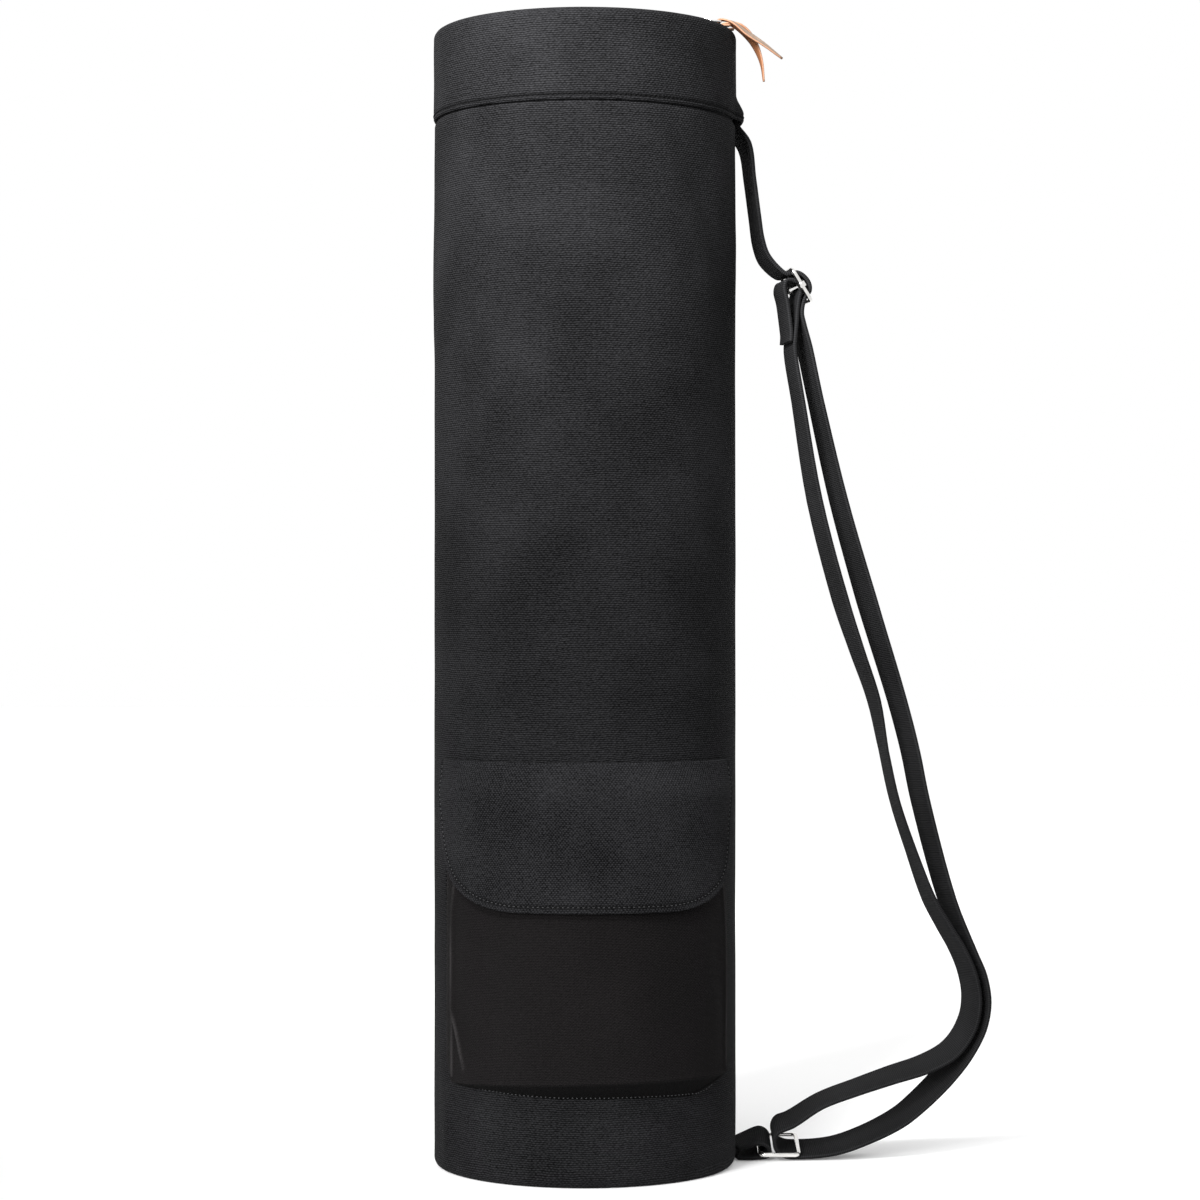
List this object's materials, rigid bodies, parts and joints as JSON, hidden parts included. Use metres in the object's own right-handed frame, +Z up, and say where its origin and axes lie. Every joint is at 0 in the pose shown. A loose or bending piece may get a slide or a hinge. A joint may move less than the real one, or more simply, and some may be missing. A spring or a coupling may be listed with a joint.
{
  "type": "yoga mat bag",
  "caption": "Tall round canvas bag for a rolled mat, with a zipped lid, a flapped front pocket and an adjustable webbing shoulder strap on a metal slide and ring.",
  "frame": {"origin": "centre of the flat base, on the tube's axis", "axes": "+Z up along the tube, -Y the front with the pocket, +X the side with the strap"},
  "size_m": [0.3344, 0.2036, 0.6812],
  "materials": {
    "canvas": "black cotton canvas, fine ribbed weave, matt",
    "pocket_canvas": "black cotton canvas, matt, slightly warmer",
    "webbing": "black cotton webbing, close ribbed weave",
    "zip_cloth": "black woven zip tape with nylon coil",
    "nickel": "polished nickel plate",
    "tan_leather": "natural vegetable-tanned leather, smooth face, rough flesh side"
  },
  "bodies": {
    "root": {"tube_body": "canvas", "base_panel": "canvas", "top_collar": "canvas", "top_lid": "canvas", "lid_hinge": "canvas", "zip_tape": "zip_cloth", "zip_slider_1": "nickel", "pull_ring_1": "nickel", "leather_pull_1": "tan_leather", "zip_slider_2": "nickel", "pull_ring_2": "nickel", "leather_pull_2": "tan_leather", "pocket_pouch": "pocket_canvas", "pocket_flap": "pocket_canvas", "shoulder_strap": "webbing", "slide_frame": "nickel", "slide_bar": "nickel", "lower_ring": "nickel", "strap_tab": "webbing"}
  },
  "joints": []
}
